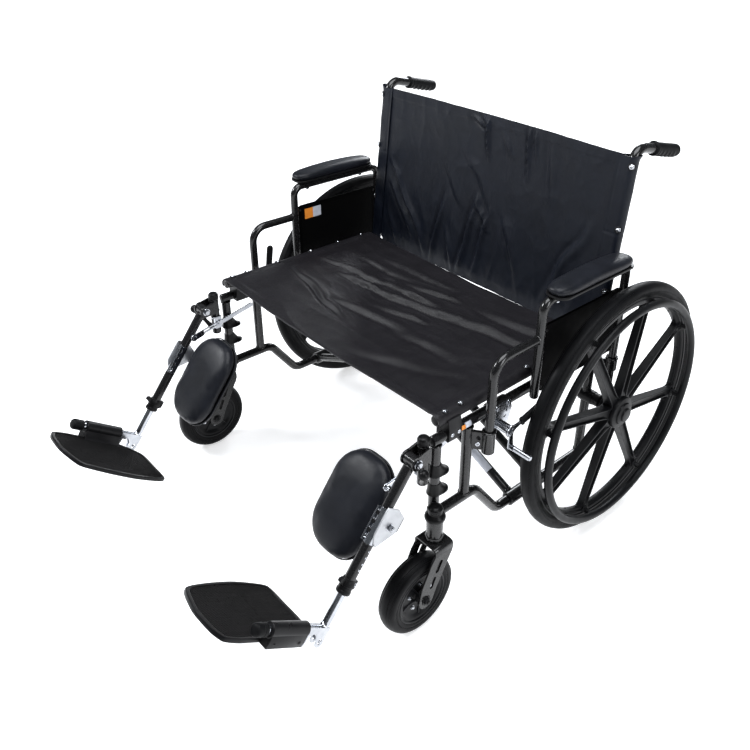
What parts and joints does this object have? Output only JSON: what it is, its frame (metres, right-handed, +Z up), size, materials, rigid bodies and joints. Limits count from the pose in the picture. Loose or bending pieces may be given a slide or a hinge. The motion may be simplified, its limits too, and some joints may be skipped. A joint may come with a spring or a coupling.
{
  "type": "manual wheelchair",
  "caption": "Wide folding manual wheelchair with sling seat and back, removable armrests, wheel locks and swing-away elevating leg rests with calf pads and footplates.",
  "frame": {"origin": "centre of the bounding box on the floor plane", "axes": "+Z up, the chair faces -Y, +X to the seated person's left"},
  "size_m": [0.9816, 1.2735, 0.8866],
  "materials": {
    "frame_paint": "black hammertone powder coat, semi-gloss",
    "plated_steel": "bright zinc and chrome plate",
    "wheel_plastic": "satin black moulded composite",
    "panel_plastic": "black plastic with a fine grain",
    "tyre_rubber": "solid black tyre, matte",
    "grip_rubber": "moulded grip, matte",
    "pad_vinyl": "black padded vinyl with a soft sheen",
    "nylon": "black coated nylon, wrinkled"
  },
  "bodies": {
    "left_frame": {"left_top_rail": "frame_paint", "left_lower_rail": "frame_paint", "left_front_post": "frame_paint", "left_mid_post": "frame_paint", "left_back_cane": "frame_paint", "left_push_grip": "grip_rubber", "left_caster_housing": "frame_paint", "left_brake_bracket": "plated_steel", "back_sling": "nylon"},
    "left_wheel": {"left_rear_tyre": "tyre_rubber", "left_rear_rim": "wheel_plastic", "left_handrim": "wheel_plastic"},
    "left_fork": {"left_caster_fork": "frame_paint"},
    "left_caster": {"left_caster_tyre": "tyre_rubber", "left_caster_rim": "wheel_plastic"},
    "left_armrest": {"left_arm_front_tube": "frame_paint", "left_arm_tube": "frame_paint", "left_arm_panel": "panel_plastic", "left_arm_pad": "pad_vinyl"},
    "left_brake_lever": {"left_brake_lever": "plated_steel"},
    "left_brake_shoe": {"left_brake_shoe": "plated_steel"},
    "left_leg_hanger": {"left_leg_hanger": "frame_paint"},
    "left_leg_tube": {"left_leg_tube": "frame_paint"},
    "left_ratchet_bar": {"left_ratchet_bar": "plated_steel"},
    "left_foot_extension": {"left_foot_extension": "plated_steel"},
    "left_footplate": {"left_footplate": "panel_plastic"},
    "left_calf_support": {"left_calf_bracket": "plated_steel", "left_calf_pad": "pad_vinyl"},
    "right_frame": {"right_top_rail": "frame_paint", "right_lower_rail": "frame_paint", "right_front_post": "frame_paint", "right_mid_post": "frame_paint", "right_back_cane": "frame_paint", "right_push_grip": "grip_rubber", "right_caster_housing": "frame_paint", "right_brake_bracket": "plated_steel"},
    "right_wheel": {"right_rear_tyre": "tyre_rubber", "right_rear_rim": "wheel_plastic", "right_handrim": "wheel_plastic"},
    "right_fork": {"right_caster_fork": "frame_paint"},
    "right_caster": {"right_caster_tyre": "tyre_rubber", "right_caster_rim": "wheel_plastic"},
    "right_armrest": {"right_arm_front_tube": "frame_paint", "right_arm_tube": "frame_paint", "right_arm_panel": "panel_plastic", "right_arm_pad": "pad_vinyl"},
    "right_brake_lever": {"right_brake_lever": "plated_steel"},
    "right_brake_shoe": {"right_brake_shoe": "plated_steel"},
    "right_leg_hanger": {"right_leg_hanger": "frame_paint"},
    "right_leg_tube": {"right_leg_tube": "frame_paint"},
    "right_ratchet_bar": {"right_ratchet_bar": "plated_steel"},
    "right_foot_extension": {"right_foot_extension": "plated_steel"},
    "right_footplate": {"right_footplate": "panel_plastic"},
    "right_calf_support": {"right_calf_bracket": "plated_steel", "right_calf_pad": "pad_vinyl"},
    "brace_a": {"brace_a": "frame_paint", "right_seat_rail": "frame_paint"},
    "brace_b": {"brace_b": "frame_paint", "left_seat_rail": "frame_paint", "seat_sling": "nylon"}
  },
  "joints": [
    {"name": "fold", "type": "hinge", "parent": "left_frame", "child": "brace_a", "pos_m": [0.376, 0.1343, 0.138], "axis": [0, 1, 0], "range_deg": [0, 38], "deforming": ["seat_sling", "back_sling"]},
    {"name": "fold_crossing", "type": "hinge", "parent": "brace_a", "child": "brace_b", "pos_m": [0, 0.1343, 0.30181], "axis": [0, 1, 0], "range_deg": [-76, 0]},
    {"name": "fold_far_pivot", "type": "hinge", "parent": "brace_b", "child": "right_frame", "pos_m": [-0.376, 0.1343, 0.138], "axis": [0, 1, 0], "range_deg": [0, 38]},
    {"name": "left_wheel_spin", "type": "hinge", "parent": "left_frame", "child": "left_wheel", "pos_m": [0.449, 0.3318, 0.305], "axis": [1, 0, 0], "continuous": true},
    {"name": "left_caster_swivel", "type": "hinge", "parent": "left_frame", "child": "left_fork", "pos_m": [0.4, -0.1762, 0.205], "axis": [0, 0, 1], "continuous": true},
    {"name": "left_caster_spin", "type": "hinge", "parent": "left_fork", "child": "left_caster", "pos_m": [0.4, -0.2222, 0.0889], "axis": [1, 0, 0], "continuous": true},
    {"name": "left_armrest_lift", "type": "slide", "parent": "left_frame", "child": "left_armrest", "axis": [0, 0, 1], "range_m": [0, 0.04]},
    {"name": "left_brake", "type": "hinge", "parent": "left_frame", "child": "left_brake_lever", "pos_m": [0.425, -0.0032, 0.392], "axis": [1, 0, 0], "range_deg": [0, 70]},
    {"name": "left_brake_press", "type": "hinge", "parent": "left_frame", "child": "left_brake_shoe", "pos_m": [0.4165, 0.0138, 0.385], "axis": [1, 0, 0], "range_deg": [0, 9.17]},
    {"name": "left_leg_swing", "type": "hinge", "parent": "left_frame", "child": "left_leg_hanger", "pos_m": [0.376, -0.1902, 0.39], "axis": [0, 0, 1], "range_deg": [0, 90]},
    {"name": "left_leg_elevation", "type": "hinge", "parent": "left_leg_hanger", "child": "left_leg_tube", "pos_m": [0.378, -0.2202, 0.411], "axis": [-1, 0, 0], "range_deg": [0, 50]},
    {"name": "left_ratchet", "type": "hinge", "parent": "left_leg_tube", "child": "left_ratchet_bar", "pos_m": [0.359, -0.26188, 0.35727], "axis": [-1, 0, 0], "range_deg": [-18.01, 0]},
    {"name": "left_foot_extension_slide", "type": "slide", "parent": "left_leg_tube", "child": "left_foot_extension", "axis": [0, -0.6129, -0.7902], "range_m": [-0.035, 0.09]},
    {"name": "left_footplate_flip", "type": "hinge", "parent": "left_foot_extension", "child": "left_footplate", "pos_m": [0.378, -0.52163, 0.20187], "axis": [0, 0.7902, -0.6129], "range_deg": [0, 85]},
    {"name": "left_calf_tilt", "type": "hinge", "parent": "left_leg_tube", "child": "left_calf_support", "pos_m": [0.378, -0.28762, 0.32408], "axis": [1, 0, 0], "range_deg": [-12, 12]},
    {"name": "right_wheel_spin", "type": "hinge", "parent": "right_frame", "child": "right_wheel", "pos_m": [-0.449, 0.3318, 0.305], "axis": [1, 0, 0], "continuous": true},
    {"name": "right_caster_swivel", "type": "hinge", "parent": "right_frame", "child": "right_fork", "pos_m": [-0.4, -0.1762, 0.205], "axis": [0, 0, 1], "continuous": true},
    {"name": "right_caster_spin", "type": "hinge", "parent": "right_fork", "child": "right_caster", "pos_m": [-0.4, -0.2222, 0.0889], "axis": [1, 0, 0], "continuous": true},
    {"name": "right_armrest_lift", "type": "slide", "parent": "right_frame", "child": "right_armrest", "axis": [0, 0, 1], "range_m": [0, 0.04]},
    {"name": "right_brake", "type": "hinge", "parent": "right_frame", "child": "right_brake_lever", "pos_m": [-0.425, -0.0032, 0.392], "axis": [1, 0, 0], "range_deg": [-68, 2]},
    {"name": "right_brake_press", "type": "hinge", "parent": "right_frame", "child": "right_brake_shoe", "pos_m": [-0.4165, 0.0138, 0.385], "axis": [1, 0, 0], "range_deg": [-8.91, 0.26]},
    {"name": "right_leg_swing", "type": "hinge", "parent": "right_frame", "child": "right_leg_hanger", "pos_m": [-0.376, -0.1902, 0.39], "axis": [0, 0, -1], "range_deg": [0, 90]},
    {"name": "right_leg_elevation", "type": "hinge", "parent": "right_leg_hanger", "child": "right_leg_tube", "pos_m": [-0.378, -0.2202, 0.411], "axis": [-1, 0, 0], "range_deg": [0, 50]},
    {"name": "right_ratchet", "type": "hinge", "parent": "right_leg_tube", "child": "right_ratchet_bar", "pos_m": [-0.359, -0.26188, 0.35727], "axis": [-1, 0, 0], "range_deg": [-18.01, 0]},
    {"name": "right_foot_extension_slide", "type": "slide", "parent": "right_leg_tube", "child": "right_foot_extension", "axis": [0, -0.6129, -0.7902], "range_m": [-0.035, 0.09]},
    {"name": "right_footplate_flip", "type": "hinge", "parent": "right_foot_extension", "child": "right_footplate", "pos_m": [-0.378, -0.52163, 0.20187], "axis": [0, -0.7902, 0.6129], "range_deg": [0, 85]},
    {"name": "right_calf_tilt", "type": "hinge", "parent": "right_leg_tube", "child": "right_calf_support", "pos_m": [-0.378, -0.28762, 0.32408], "axis": [1, 0, 0], "range_deg": [-12, 12]}
  ],
  "couplings": [
    {"joint": "fold_crossing", "follows": "fold", "ratio": -2},
    {"joint": "fold_far_pivot", "follows": "fold", "ratio": 1},
    {"joint": "left_brake_press", "follows": "left_brake", "ratio": 0.131},
    {"joint": "left_ratchet", "follows": "left_leg_elevation", "ratio": -0.3602},
    {"joint": "right_brake_press", "follows": "right_brake", "ratio": 0.131},
    {"joint": "right_ratchet", "follows": "right_leg_elevation", "ratio": -0.3602}
  ]
}
